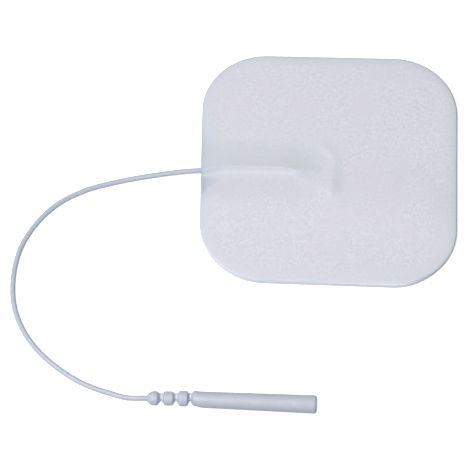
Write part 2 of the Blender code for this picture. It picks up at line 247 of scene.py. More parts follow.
def grid_quads(rows, columns, round_columns=False):
    """Corner numbers of a grid's four-sided faces; round_columns joins the last column to the first."""
    reach = columns if round_columns else columns - 1
    row = np.arange(rows - 1)[:, None]
    column = np.arange(reach)[None, :]
    after = (column + 1) % columns
    quads = np.stack([row * columns + column, row * columns + after,
                      (row + 1) * columns + after, (row + 1) * columns + column], axis=-1)
    return quads.reshape(-1, 4)


def add_piece(name, node, points, faces, material):
    """Put points and faces into a mesh that takes the place of a node of the solid model. Faces come
    as a list of arrays, each with one number of corners."""
    mesh = bpy.data.meshes.new(name)
    corner_count = sum(part.size for part in faces)
    face_sizes = np.concatenate([np.full(len(part), part.shape[1]) for part in faces])
    mesh.vertices.add(len(points))
    mesh.vertices.foreach_set("co", np.asarray(points, np.float32).ravel())
    mesh.loops.add(corner_count)
    mesh.loops.foreach_set("vertex_index", np.concatenate([part.ravel() for part in faces]).astype(np.int32))
    mesh.polygons.add(len(face_sizes))
    mesh.polygons.foreach_set("loop_start", sums(face_sizes)[:-1].astype(np.int32))
    mesh.update(calc_edges=True)
    mesh.validate()
    mesh.shade_smooth()
    mesh.set_sharp_from_angle(angle=SHARP_ANGLE)
    piece = bpy.data.objects.new(name, mesh)
    piece.data.materials.append(material)
    bpy.context.scene.collection.objects.link(piece)
    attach(piece, BODY)
    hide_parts(node)
    return piece


def keep_value(piece, name, values):
    """Keep one value for each point of a piece's mesh, for its material to read."""
    attribute = piece.data.attributes.new(name, "FLOAT", "POINT")
    attribute.data.foreach_set("value", values.astype(np.float32))


def smooth_line(points, spacing):
    """A curve through points, read again at equal steps: each stretch is a cubic whose end
    slopes are those of its neighbours' chords."""
    chord = np.linalg.norm(np.diff(points, axis=0), axis=1)
    slope = np.gradient(points, sums(chord), axis=0)
    t = np.linspace(0.0, 1.0, 24, endpoint=False)[None, :, None]
    near = points[:-1, None, :]
    far = points[1:, None, :]
    rise = chord[:, None, None]
    start = (2 * t**3 - 3 * t**2 + 1) * near + (t**3 - 2 * t**2 + t) * rise * slope[:-1, None, :]
    end = (3 * t**2 - 2 * t**3) * far + (t**3 - t**2) * rise * slope[1:, None, :]
    fine = np.vstack(((start + end).reshape(-1, 3), points[-1:]))
    travelled = sums(np.linalg.norm(np.diff(fine, axis=0), axis=1))
    steps = np.linspace(0.0, travelled[-1], int(round(travelled[-1] / spacing)) + 1)
    return np.column_stack([np.interp(steps, travelled, fine[:, axis]) for axis in range(3)])


def turned_surface(centres, side, up, radii):
    """Rings whose radius may change round the section: centre plus radius times cosine sideways
    and sine upward."""
    sides = radii.shape[1]
    angle = np.arange(sides) * 2.0 * math.pi / sides
    across = np.cos(angle)[None, :, None] * side[:, None, :] + np.sin(angle)[None, :, None] * up[:, None, :]
    return centres[:, None, :] + radii[:, :, None] * across


def capped_faces(rings, sides):
    """Faces that join rings into a tube, and one round face that closes each end."""
    ring = np.arange(sides)
    caps = np.array([ring[::-1], (rings - 1) * sides + ring])
    return [grid_quads(rings, sides, round_columns=True), caps]


def capped_tube(line, radius, sides):
    """Points and faces of a closed round tube along a line. Its sections lie in two directions
    across the line, one level with the table and one at right angles to both."""
    forward = np.gradient(line, axis=0)
    forward /= np.linalg.norm(forward, axis=1)[:, None]
    side = np.cross((0.0, 0.0, 1.0), forward)
    side /= np.linalg.norm(side, axis=1)[:, None]
    rings = turned_surface(line, side, np.cross(forward, side), np.full((len(line), sides), radius))
    return rings.reshape(-1, 3), capped_faces(len(line), sides)


class Term:
    """A shader socket that adds its Math nodes when it is used in an expression."""

    def __init__(self, graph, socket):
        self.graph = graph
        self.socket = socket

    def __add__(self, other):
        return self.graph.math("ADD", self, other)

    def __radd__(self, other):
        return self.graph.math("ADD", other, self)

    def __sub__(self, other):
        return self.graph.math("SUBTRACT", self, other)

    def __rsub__(self, other):
        return self.graph.math("SUBTRACT", other, self)

    def __mul__(self, other):
        return self.graph.math("MULTIPLY", self, other)

    def __rmul__(self, other):
        return self.graph.math("MULTIPLY", other, self)

    def __abs__(self):
        return self.graph.math("ABSOLUTE", self)


class Graph:
    """The node tree of a new material or world, with the shader that ends it."""

    def __init__(self, name, world=False):
        self.owner = bpy.data.worlds.new(name) if world else bpy.data.materials.new(name)
        self.owner.use_nodes = True
        self.tree = self.owner.node_tree
        self.shader = self.tree.nodes["Background" if world else "Principled BSDF"]

    @staticmethod
    def find(sockets, key):
        """The socket with this identifier, or else with this name."""
        for socket in sockets:
            if socket.identifier == key:
                return socket
        return sockets[key]

    def put(self, socket, value):
        """Link a term to a socket, or write a plain value on it."""
        if isinstance(value, Term):
            self.tree.links.new(value.socket, socket)
        else:
            socket.default_value = value

    def add(self, kind, settings, sockets, output=0):
        """Add a node: its settings first, then the values or links of its sockets."""
        node = self.tree.nodes.new(kind)
        for key, value in settings.items():
            setattr(node, key, value)
        for key, value in sockets.items():
            self.put(self.find(node.inputs, key), value)
        made = node.outputs[output] if isinstance(output, int) else self.find(node.outputs, output)
        return Term(self, made)

    def math(self, operation, first, second=None):
        sockets = {"Value": first}
        if second is not None:
            sockets["Value_001"] = second
        return self.add("ShaderNodeMath", {"operation": operation}, sockets)

    def mix(self, share, first, second):
        """Colour that goes from first to second as share goes from 0 to 1."""
        sockets = {"Factor_Float": share, "A_Color": first, "B_Color": second}
        return self.add("ShaderNodeMix", {"data_type": "RGBA"}, sockets, "Result_Color")

    def place(self):
        return self.add("ShaderNodeTexCoord", {}, {}, "Object")

    def share(self, name):
        """The value that a mesh keeps under this name."""
        return self.add("ShaderNodeAttribute", {"attribute_name": name}, {}, "Fac")

    def turned(self, place, angle, scale):
        """Places turned about Z and stretched, for a pattern with a direction."""
        sockets = {"Vector": place, "Rotation": (0.0, 0.0, angle), "Scale": scale}
        return self.add("ShaderNodeMapping", {}, sockets)

    def noise(self, place, scale, detail=2.0, roughness=0.5, distortion=0.0):
        sockets = {"Vector": place, "Scale": scale, "Detail": detail, "Roughness": roughness,
                   "Distortion": distortion}
        return self.add("ShaderNodeTexNoise", {}, sockets, "Fac")

    def ramp(self, value, low, high, to_low=0.0, to_high=1.0):
        """Map a value from one range to another, held at both ends."""
        sockets = {"Value": value, "From Min": low, "From Max": high, "To Min": to_low, "To Max": to_high}
        return self.add("ShaderNodeMapRange", {"clamp": True}, sockets)

    def bump(self, height, strength, distance):
        sockets = {"Height": height, "Strength": strength, "Distance": distance}
        return self.add("ShaderNodeBump", {}, sockets)

    def seen_by_viewer(self):
        """1 for what the camera, gloss and glass see, and 0 for the light that falls on things."""
        seen = self.add("ShaderNodeLightPath", {}, {}, "Is Camera Ray")
        for ray in ("Is Glossy Ray", "Is Transmission Ray"):
            seen = self.math("MAXIMUM", seen, self.add("ShaderNodeLightPath", {}, {}, ray))
        return seen

    def finish(self, **sockets):
        """Write the shader's own sockets; a key's underscores stand for spaces."""
        for key, value in sockets.items():
            self.put(self.shader.inputs[key.replace("_", " ")], value)
        return self.owner


def tinted(color, red, green, blue):
    """A colour with each channel scaled by its own share, and its alpha."""
    return (color[0] * red, color[1] * green, color[2] * blue, 1.0)


def shade(color, level):
    """A colour scaled in brightness, and its alpha."""
    return tinted(color, level, level, level)


def cloth_material(color):
    """White nonwoven cloth: fibres laid in several directions, pressed flat, with a fine grain and a
    faint mottle. Three shares that its mesh keeps paint light and shade on it: a cool tint of painted
    shade, painted shade that darkens it and painted light that makes it paler."""
    graph = Graph("nonwoven_cloth")
    place = graph.place()
    fibres = 0.0
    for angle, scale in ((0.3, 2200.0), (1.35, 2500.0), (2.45, 2350.0)):
        laid = graph.turned(place, angle, (1.0, 0.22, 1.0))
        strand = graph.noise(laid, scale, distortion=0.5)
        fibres = abs(strand - 0.5) * 2.0 + fibres
    grain = graph.noise(place, 1900.0, detail=1.0, roughness=0.45)
    mottle = graph.noise(place, 420.0)
    warmth = graph.noise(place, 230.0, detail=1.0)
    level = graph.ramp(grain * 0.9 + mottle * 0.1, 0.34, 0.66)
    tone = graph.mix(level, shade(color, 0.943), shade(color, 1.057))
    tone = graph.mix(graph.ramp(warmth, 0.42, 0.62, 0.0, 0.6), tone, tinted(color, 1.02, 0.985, 1.0))
    # Painted shade: a cool tint where the cloth lies in shade
    tone = graph.mix(graph.share("painted_cool_shade"), tone, tinted(color, 0.95, 1.0, 1.012))
    # Painted shade: mixed towards a dark blue-grey
    tone = graph.mix(graph.share("painted_shade_share"), tone, (0.0, 0.07, 0.2, 1.0))
    # Painted light: the cut edge at the front made paler
    tone = graph.mix(graph.share("front_edge_painted_light"), tone, tinted(color, 1.20, 1.27, 1.28))
    height = fibres * 0.3 + grain * 0.7
    return graph.finish(
        Base_Color=tone, Roughness=graph.ramp(grain, 0.3, 0.7, 0.86, 0.96),
        Normal=graph.bump(height, 0.42, 0.06 * MM), Specular_IOR_Level=0.25)


def gel_material(color):
    """Clear gel: soft, wet and slightly milky. Its rim is pale, and further in the dark film shows
    through it from below."""
    graph = Graph("clear_gel")
    place = graph.place()
    cloud = graph.noise(place, 420.0)
    ripple = graph.noise(place, 900.0, detail=1.0)
    pale = graph.mix(graph.ramp(cloud, 0.35, 0.65), shade(color, 0.96), shade(color, 1.0))
    dark = (0.10, 0.105, 0.12, 1.0)
    tone = graph.mix(graph.share("rim_share"), dark, pale)
    return graph.finish(
        Base_Color=tone, Roughness=graph.ramp(cloud, 0.3, 0.7, 0.16, 0.28),
        Normal=graph.bump(ripple, 0.15, 0.05 * MM), IOR=1.38, Transmission_Weight=0.12)


def film_material(color):
    """Carbon-filled film: near black, matt, with a fine speckle."""
    graph = Graph("carbon_film")
    place = graph.place()
    speck = graph.noise(place, 5200.0, detail=3.0, roughness=0.7)
    sweep = graph.noise(graph.turned(place, 0.0, (1.0, 0.05, 1.0)), 900.0)
    tone = graph.mix(graph.ramp(speck, 0.4, 0.7), shade(color, 0.8), shade(color, 1.9))
    return graph.finish(
        Base_Color=tone, Roughness=graph.ramp(sweep, 0.3, 0.7, 0.45, 0.62),
        Normal=graph.bump(speck, 0.2, 0.02 * MM))


def strand_material():
    """Bare carbon strands: dark grey with a silky gloss."""
    graph = Graph("bare_strands")
    place = graph.place()
    streak = graph.noise(place, 6000.0)
    tone = graph.mix(graph.ramp(streak, 0.35, 0.65), (0.05, 0.05, 0.055, 1.0), (0.16, 0.16, 0.17, 1.0))
    return graph.finish(Base_Color=tone, Roughness=graph.ramp(streak, 0.3, 0.7, 0.3, 0.45), Metallic=0.6)


def soft_plastic(name, color, mottle_scale, bump_strength, barrel_painted_shade):
    """Soft white plastic, as drawn or moulded: satin, with a faint mottle and a fine orange peel. It
    has a bluish tint of painted shade towards the table, painted light that makes it paler by the
    share that the plug's mesh keeps for its necks, and painted shade that darkens it by the given
    share at the start of the barrel."""
    graph = Graph(name)
    place = graph.place()
    mottle = graph.noise(place, mottle_scale, detail=3.0, roughness=0.6)
    peel = graph.noise(place, 2600.0)
    tone = graph.mix(graph.ramp(mottle, 0.35, 0.65), shade(color, 0.965), shade(color, 1.025))
    # Painted shade: bluer towards the table
    height = graph.add("ShaderNodeSeparateXYZ", {}, {"Vector": place}, "Z")
    tone = graph.mix(graph.ramp(height, 3.1 * MM, 1.9 * MM), tone, tinted(color, 0.91, 0.985, 1.02))
    # Painted light: paler necks
    tone = graph.mix(graph.share("neck_painted_light"), tone, shade(color, 1.22))
    # Painted shade: darker at the start of the barrel
    length = graph.add("ShaderNodeSeparateXYZ", {}, {"Vector": place}, "X")
    begun = graph.ramp(length, -26.9 * MM, -25.6 * MM)
    painted_shade_fading = graph.ramp(length, -24 * MM, -18 * MM, barrel_painted_shade, 0.0)
    tone = graph.mix(begun * painted_shade_fading, tone, BLACK)
    return graph.finish(
        Base_Color=tone, Roughness=graph.ramp(peel, 0.3, 0.7, 0.36, 0.48),
        Normal=graph.bump(peel, bump_strength, 0.02 * MM), IOR=1.46)


def contact_material(color):
    """Drawn brass: fine lines along the tube, lightly tarnished."""
    graph = Graph("drawn_brass")
    place = graph.place()
    lines = graph.noise(graph.turned(place, 0.03, (0.04, 1.0, 1.0)), 9000.0)
    tarnish = graph.noise(place, 900.0)
    tone = graph.mix(graph.ramp(tarnish, 0.4, 0.7), shade(color, 1.0), shade(color, 0.72))
    return graph.finish(
        Base_Color=tone, Metallic=1.0, Roughness=graph.ramp(tarnish, 0.3, 0.7, 0.24, 0.4),
        Normal=graph.bump(lines, 0.12, 0.01 * MM))


def front_spread(x, y):
    """How far the pad's edge splays at its front, and how far it is drawn out at the right corner.
    The splay grows with x as a straight line, held between nothing and its most, and both are
    eased in and out with x and y."""
    reach = np.clip(0.19 * MM + 0.0094 * x, 0.0, 0.3 * MM)
    front = reach * smoothstep(-y, 15 * MM, 24 * MM) * fade(x, 14 * MM, 22 * MM)
    corner = 0.20 * MM * smoothstep(x, 12 * MM, 20 * MM) * smoothstep(-y, 11 * MM, 19 * MM)
    return front, corner


def edge_distance(x, y, radius):
    """How far points lie inside a rounded square: corner radius, less the distance from the
    corner's centre where both sides are near, or the distance from the nearer side."""
    beyond_x = np.abs(x) - (HALF_SIDE - radius)
    beyond_y = np.abs(y) - (HALF_SIDE - radius)
    corner = np.hypot(np.maximum(beyond_x, 0.0), np.maximum(beyond_y, 0.0))
    inner = np.minimum(np.maximum(beyond_x, beyond_y), 0.0)
    return radius - corner - inner


def run(low, high, count):
    """Equal steps from low up to, but not onto, high, which are given in millimetres."""
    return np.linspace(low, high, count, endpoint=False) * MM


def cloth_places(radius, rim):
    """The plan of the cloth's grid: rows whose ends follow the outline. Rows and columns lie close
    together at the edge, along the fold and round the patch."""
    straight = HALF_SIDE - radius
    corner_angles = np.linspace(0.0, math.pi / 2, 40)[1:]
    corner = straight + radius * np.sin(corner_angles)
    level = straight / MM
    middle = np.concatenate((run(-level, -6, 18), run(-6, 2.5, 76), run(2.5, level, 26), [straight]))
    rows = np.concatenate((-corner[::-1], middle, corner))
    over = np.maximum(np.abs(rows) - straight, 0.0)
    reach = straight + np.sqrt(np.maximum(radius**2 - over**2, 0.0))
    insets = rim * np.array([0.0, 0.04, 0.15, 0.35, 0.65])
    end = HALF_SIDE / MM
    across = np.concatenate((run(-end, -21.5, 22), run(-21.5, -9, 34), run(-9, 4, 72),
                             run(4, end, 52), [HALF_SIDE]))
    inner = (across / HALF_SIDE)[None, :] * (reach[:, None] - rim)
    x = np.concatenate((insets - reach[:, None], inner, (reach[:, None] - insets)[:, ::-1]), axis=1)
    return x, np.repeat(rows[:, None], x.shape[1], axis=1)


def lead_line(x):
    """The lead's y in the pad: straight, but for a gentle turn where it leaves."""
    turned = np.clip(1.0 - (x + HALF_SIDE) / JACKET_TURN_IN, 0.0, 1.0)
    return JACKET_LINE_Y + (JACKET_EXIT_Y - JACKET_LINE_Y) * turned**2 * (2.0 - turned)


def crest_offset(x, y, pad):
    """How far behind the fold's crest a place lies. The crest leans to the front at the mouth, and a
    little over the strands."""
    flare = pad.mouth_flare * np.exp(-(x + HALF_SIDE) / (2.2 * MM))
    return y - lead_line(x) - 0.05 * MM + flare + 0.25 * MM * smoothstep(x, -11 * MM, -6 * MM)


def lead_fold(x, y, pad):
    """Height of the fold over the lead, as a share of its crest. Behind the crest it is the share
    of the fold's reach that is left, raised to a power, and before it e to the minus distance over
    the front fold's length, with a small share that dies away further out. The crest falls over the
    strands by the mean of three eases."""
    rounding = pad.crest_rounding
    offset = crest_offset(x, y, pad)
    rounded = np.sqrt(offset**2 + rounding**2) - rounding
    back = np.clip(1.0 - rounded / pad.fold_back, 0.0, 1.0) ** 1.45
    front_length = pad.fold_front + 2.1 * MM * smoothstep(x, -7.6 * MM, -3.4 * MM)
    front = 0.97 * np.exp(-rounded / front_length) + 0.03 * np.clip(1.0 - rounded / (12 * MM), 0.0, 1.0)
    falls = ((-10 * MM, -3.2 * MM), (-7.6 * MM, -0.8 * MM), (-5 * MM, 1.6 * MM))
    fallen = sum(smoothstep(x, start, end) for start, end in falls) / len(falls)
    return (1.0 - fallen) * np.where(offset > 0.0, back, front)


def strand_patch(x, y, pad):
    """Height of the raised rim over the strands' ends. Its crest line is drawn through points and
    smoothed by a moving mean. Across that line it climbs slowly from the inside by a share raised
    to a power, and falls within a short reach outside."""
    rim_y = np.array([-9.0, -6.6, -5.0, -2.8, -1.1, 1.0, 2.3, 3.4, 4.3, 5.3, 6.4]) * MM
    rim_x = np.array([-0.3, 0.2, 0.45, 0.53, 0.7, 0.95, 0.7, 0.15, -0.6, -1.7, -3.2]) * MM
    fine_y = np.linspace(rim_y[0], rim_y[-1], 240)
    neighbours = 11
    weights = np.hanning(2 * neighbours + 3)[1:-1]
    drawn_x = np.pad(np.interp(fine_y, rim_y, rim_x), neighbours, mode="edge")
    fine_x = np.convolve(drawn_x, weights / weights.sum(), "valid")
    slope = np.interp(y, fine_y, np.gradient(fine_x, fine_y))
    across = (x - np.interp(y, fine_y, fine_x)) / np.sqrt(1.0 + slope**2)
    climb = 3.5 * MM - 1.3 * MM * smoothstep(y, -1 * MM, 1.5 * MM)
    inside = np.clip(1.0 + across / climb, 0.0, 1.0) ** 1.2
    outside = fade(across, -0.2 * MM, 3.0 * MM - 0.2 * MM * hill(y, -2.6 * MM, 1.7 * MM))
    share = np.minimum(inside, outside)
    strength = smoothstep(y, -8.5 * MM, -4.5 * MM) * fade(y, 3.4 * MM, 6.6 * MM)
    return pad.patch_rise * strength * share * (1.0 - 0.28 * smoothstep(y, -1 * MM, 1.5 * MM))


def cloth_lie(x, y, pad):
    """Height at which the cloth lies over the table: flat over the film, a little lower at the rim,
    and raised by the largest of fold, patch and the lip before the mouth, blended by a soft maximum.
    A low pillow beside the patch and a broad swell before the lead are added."""
    film_inset = HALF_SIDE - FILM_HIGH.x
    rim_height = GEL_HIGH.z + 3 * LAYER_GAP
    flat_height = FILM_HIGH.z + 0.03 * MM
    inset = edge_distance(x, y, pad.corner_radius)
    pressed = smoothstep(inset, 0.0, film_inset)
    flat = rim_height + (flat_height - rim_height) * pressed
    crest_rise = CLOTH_HIGH.z - pad.cloth_thickness - flat_height
    fold = crest_rise * lead_fold(x, y, pad)
    patch = strand_patch(x, y, pad)
    reach = 0.8 * MM + 2.8 * MM * smoothstep(y, -6.4 * MM, -2.8 * MM)
    lip = 0.65 * MM * np.clip(1.0 - (x + HALF_SIDE) / reach, 0.0, 1.0) ** 1.3
    lip = lip * smoothstep(y, -7.8 * MM, -5.6 * MM) * fade(y, -3.2 * MM, -1.8 * MM)
    pillow = 0.19 * MM * hill(x, 0.3 * MM, 2.4 * MM) * hill(y, -4.9 * MM, 2.2 * MM)
    pillow = pillow * fade(x, 0.3 * MM, 3.2 * MM)
    softness = 0.07 * MM
    raised = softness * (np.log(np.exp(fold / softness) + np.exp(patch / softness)
                                + np.exp(lip / softness)) - math.log(3.0))
    swell = 0.40 * MM * hill(y, -7.2 * MM, 5.9 * MM) * smoothstep(inset, 0.0, 6 * MM)
    return flat + np.maximum(raised, 0.0) + pillow + swell


def over_jacket(x, y):
    """Height of the jacket's top with a little clearance, and nothing away from the jacket."""
    radius = JACKET_RADIUS + 0.03 * MM
    beside = np.abs(y - lead_line(x))
    covered = (beside < radius) & (x < JACKET_END_X + 0.4 * MM)
    line_z = FILM_HIGH.z + LAYER_GAP + JACKET_RADIUS
    return np.where(covered, line_z + np.sqrt(np.maximum(radius**2 - beside**2, 0.0)), 0.0)


def cloth_depth(distance, pad):
    """Thickness at a distance from the cut edge: pressed thinner by a share that dies away inwards,
    with the arris rounded along a quarter circle."""
    rounding = pad.edge_rounding
    inside = np.clip(distance, 0.0, rounding)
    arris = rounding - np.sqrt(rounding**2 - (rounding - inside) ** 2)
    return pad.cloth_thickness * (1.0 - 0.17 * np.exp(-distance / (0.7 * MM))) - arris


def cloth_painted_light_and_shade(x, y, pad):
    """Three shares of painted light and shade for the cloth's colour. Painted shade darkens it by e to
    the minus distance from the cut edge, on the fold's steep face and at its end, in the wedge and the
    hollow before the fold, and beside its mouth. A cool tint of painted shade lies near the edge and
    over the lead and the strands. Painted light makes it paler on the cut edge at the front."""
    inset = edge_distance(x, y, pad.corner_radius)
    front = smoothstep(-y, 17 * MM, 23 * MM)
    left = hill(x, -HALF_SIDE, 3 * MM) * hill(y, 2 * MM, 9 * MM)
    edge = 0.10 * np.exp(-inset / (0.25 * MM)) + 0.045 * np.exp(-inset / (1.1 * MM))
    edge = edge * (1.0 - 0.95 * front) * (1.0 + left)
    offset = crest_offset(x, y, pad)
    face = smoothstep(-offset, -0.25 * MM, 0.15 * MM) * np.exp(np.minimum(offset, 0.0) / (0.8 * MM))
    face = face * fade(x, -6.6 * MM, -5.4 * MM)
    reach = np.clip(1.0 - (x + HALF_SIDE) / (4.2 * MM), 0.0, 1.0)
    low = -3.2 * MM - 2.9 * MM * reach
    wedge = reach**0.8 * smoothstep(y - low, -0.5 * MM, 0.5 * MM)
    wedge = wedge * fade(y, -3.6 * MM, -2.7 * MM)
    hollow = hill(y, -4.6 * MM, 3.8 * MM) * fade(x, -7.5 * MM, -3.5 * MM)
    entry = hill(y, -4.6 * MM, 2.8 * MM) * fade(x, -22 * MM, -16 * MM)
    fold_end = hill(x, -5.7 * MM, 1.6 * MM) * hill(y, -2.0 * MM, 1.0 * MM)
    behind = hill(x, -HALF_SIDE, 1.6 * MM) * hill(y, 3.4 * MM, 2.4 * MM)
    # Painted shade: the darkening masks summed
    painted_darkening = (edge + 0.02 * left + 0.05 * face + 0.09 * wedge + 0.028 * hollow + 0.05 * entry
            + 0.10 * fold_end + 0.075 * behind + 0.04 * front * np.exp(-inset / (1.2 * MM)))
    # A cool tint of painted shade: over the lead and the strands, near the edge, at the left and in the
    # wedge
    drawn = fade(x, -2 * MM, 5 * MM) * hill(y, 1 * MM, 6.5 * MM)
    cool = 0.9 * np.exp(-inset / (1.5 * MM)) + 0.55 * drawn + 0.8 * left + 0.7 * wedge
    # Painted light on the cut edge at the front
    cut = smoothstep(-y, 9 * MM, 18 * MM) * np.exp(-inset / (0.08 * MM))
    return painted_darkening, np.minimum(cool, 1.5), cut


class PAD_OT_cloth(Operator):
    """Lay the nonwoven cloth over film and lead"""
    bl_idname = "pad.cloth"
    bl_label = "Cloth"

    def execute(self, context):
        pad = context.scene.pad_settings
        x, y = cloth_places(pad.corner_radius, pad.edge_rounding)
        rows, columns = x.shape
        inset = edge_distance(x, y, pad.corner_radius)
        lie = cloth_lie(x, y, pad)
        over = lie + cloth_depth(inset, pad)
        thinnest = 0.1 * MM
        under = np.minimum(np.maximum(lie, over_jacket(x, y)), over - thinnest)
        front, corner = front_spread(x, y)
        front = front * np.exp(-inset / (0.5 * MM))
        corner = corner * np.exp(-inset / (2 * MM))
        low = np.stack((x + corner, y - corner - front, under), axis=-1).reshape(-1, 3)
        high = np.stack((x + corner, y - corner - 0.45 * front, over), axis=-1).reshape(-1, 3)
        ring = outline_of_grid(rows, columns)
        after = np.roll(ring, -1)
        count = rows * columns
        wall = np.stack((ring, after, after + count, ring + count), axis=-1)
        upward = grid_quads(rows, columns)
        faces = [upward[:, ::-1], upward + count, wall]
        piece = add_piece("cloth_top", "backing_cloth", np.vstack((low, high)), faces,
                          cloth_material(pad.cloth_color))
        shares = cloth_painted_light_and_shade(x, y, pad)
        for name, values in zip(("painted_shade_share", "painted_cool_shade", "front_edge_painted_light"), shares):
            keep_value(piece, name, np.tile(values.ravel(), 2))
        return {"FINISHED"}


def outline_of_grid(rows, columns):
    """Numbers of a grid's border points, anticlockwise seen from above."""
    bottom = np.arange(columns)
    right = np.arange(1, rows) * columns + columns - 1
    top = (rows - 1) * columns + np.arange(columns - 2, -1, -1)
    left = np.arange(rows - 2, 0, -1) * columns
    return np.concatenate((bottom, right, top, left))


class PAD_OT_gel(Operator):
    """Pour the clear gel as a slab with a soft edge"""
    bl_idname = "pad.gel"
    bl_label = "Gel"

    def execute(self, context):
        pad = context.scene.pad_settings
        inset = HALF_SIDE - GEL_HIGH.x
        film_inset = HALF_SIDE - FILM_HIGH.x
        rim_top = GEL_HIGH.z + 2 * LAYER_GAP
        # Rings of a rounded square, each pulled in by a length of its own; the rim between them
        # follows a sine in height and one less a cosine in its bulge
        side = np.linspace(-math.pi / 2, math.pi / 2, 9)
        middle = (GEL_LOW.z + rim_top) / 2
        level = np.concatenate(([GEL_LOW.z, GEL_LOW.z], middle + (rim_top - GEL_LOW.z) / 2 * np.sin(side),
                                [rim_top, GEL_HIGH.z, GEL_HIGH.z]))
        bulge = np.where(side < 0.0, 0.14 * MM, 0.10 * MM) * (1.0 - np.cos(side))
        pull = np.concatenate((film_inset + np.array([0.4, -0.2]) * MM, 0.4 * inset + bulge,
                               film_inset + np.array([-0.25, -0.1, 0.3]) * MM))
        sides = 200
        turn = np.linspace(0.0, 2.0 * math.pi, sides, endpoint=False)
        straight = HALF_SIDE - pad.corner_radius
        quarter = np.floor(turn / (math.pi / 2)) * math.pi / 2 + math.pi / 4
        centre_x = np.sign(np.cos(quarter)) * straight
        centre_y = np.sign(np.sin(quarter)) * straight
        radius = pad.corner_radius - pull[:, None]
        x = centre_x[None, :] + radius * np.cos(turn)[None, :]
        y = centre_y[None, :] + radius * np.sin(turn)[None, :]
        z = np.repeat(level[:, None], sides, axis=1)
        # The corner is drawn out a little less than the cloth's, and the front splays most at its foot
        front, corner = front_spread(x, y)
        x = x + 0.8 * corner
        y = y - 0.8 * corner - front * np.clip(1.7 - 0.8 * z / GEL_HIGH.z, 0.0, 1.7)
        points = np.stack((x, y, z), axis=-1).reshape(-1, 3)
        piece = add_piece("gel_slab", "hydrogel", points, capped_faces(len(level), sides),
                          gel_material(pad.gel_color))
        rim = np.ones_like(level)
        rim[[0, -1]] = 0.0
        keep_value(piece, "rim_share", np.repeat(rim, sides))
        return {"FINISHED"}


class PAD_OT_film(Operator):
    """Finish the carbon film under the cloth"""
    bl_idname = "pad.film"
    bl_label = "Film"

    def execute(self, context):
        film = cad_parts["carbon_film"]
        film.data.materials.clear()
        film.data.materials.append(film_material(context.scene.pad_settings.film_color))
        return {"FINISHED"}


class PAD_OT_strands(Operator):
    """Spread the bare strands over the film"""
    bl_idname = "pad.strands"
    bl_label = "Strands"

    def execute(self, context):
        count = context.scene.pad_settings.strand_count
        thickness = 0.07 * MM
        share = np.linspace(0.0, 1.0, count)
        bearing = math.radians(-34) + math.radians(98) * share
        wave = np.sin(np.arange(count) * 2.4)
        root = np.array([STRANDS_LOW.x + 0.05 * MM, JACKET_LINE_Y])
        # The strands fan out to an oval under the patch, so each one's length solves a quadratic
        oval = 1.4
        limit = 4.35 * MM
        away = (root - (JACKET_END_X + 2.05 * MM, JACKET_LINE_Y - 0.25 * MM)) / (1.0, oval)
        square = np.cos(bearing) ** 2 + (np.sin(bearing) / oval) ** 2
        half_linear = away[0] * np.cos(bearing) + away[1] * np.sin(bearing) / oval
        reach = (np.sqrt(half_linear**2 - square * (away @ away - limit**2)) - half_linear) / square
        reach = reach * (0.93 + 0.06 * wave)
        step = np.linspace(0.0, 1.0, 14)
        points = []
        faces = []
        for k in range(count):
            bend = 0.10 * wave[k] * step**2
            travel = reach[k] * step
            start = np.array([0.0, (share[k] - 0.5) * 0.36 * MM, 0.0])
            level = FILM_HIGH.z + LAYER_GAP + thickness * (0.6 + 0.9 * (1 - step) * (1 + wave[k]))
            line = np.column_stack((root[0] + travel * np.cos(bearing[k] + bend),
                                    root[1] + travel * np.sin(bearing[k] + bend), level)) + start
            strand, parts = capped_tube(line, thickness / 2, sides=6)
            base = sum(len(some) for some in points)
            points.append(strand)
            faces += [part + base for part in parts]
        add_piece("spread_strands", "conductor_strands", np.vstack(points), faces,
                  strand_material())
        return {"FINISHED"}


def plug_frames(along):
    """Centres of the plug's sections at distances along it, with their sideways and upward directions."""
    distance = np.linspace(0.0, PLUG_LENGTH, 401)
    turned = np.clip((distance - RELIEF_LENGTH) / BEND_LENGTH + 0.5, 0.0, 1.0)
    heading = RELIEF_HEADING + (BARREL_HEADING - RELIEF_HEADING) * turned
    middle = (heading[1:] + heading[:-1]) / 2
    step = np.diff(distance) * math.cos(PITCH)
    x = PLUG_ENTRY[0] + sums(step * np.cos(middle))
    y = PLUG_ENTRY[1] + sums(step * np.sin(middle)) + BARREL_STEP * turned
    z = TABLE_GAP + BARREL_START_RADIUS / math.cos(PITCH) + (distance - RELIEF_LENGTH) * math.sin(PITCH)
    centre = np.column_stack([np.interp(along, distance, line) for line in (x, y, z)])
    bearing = np.interp(along, distance, heading)
    side = np.column_stack((-np.sin(bearing), np.cos(bearing), np.zeros_like(bearing)))
    forward = np.column_stack((np.cos(bearing), np.sin(bearing), np.full_like(bearing, math.tan(PITCH))))
    forward /= np.linalg.norm(forward, axis=1)[:, None]
    return centre, side, np.cross(forward, side)


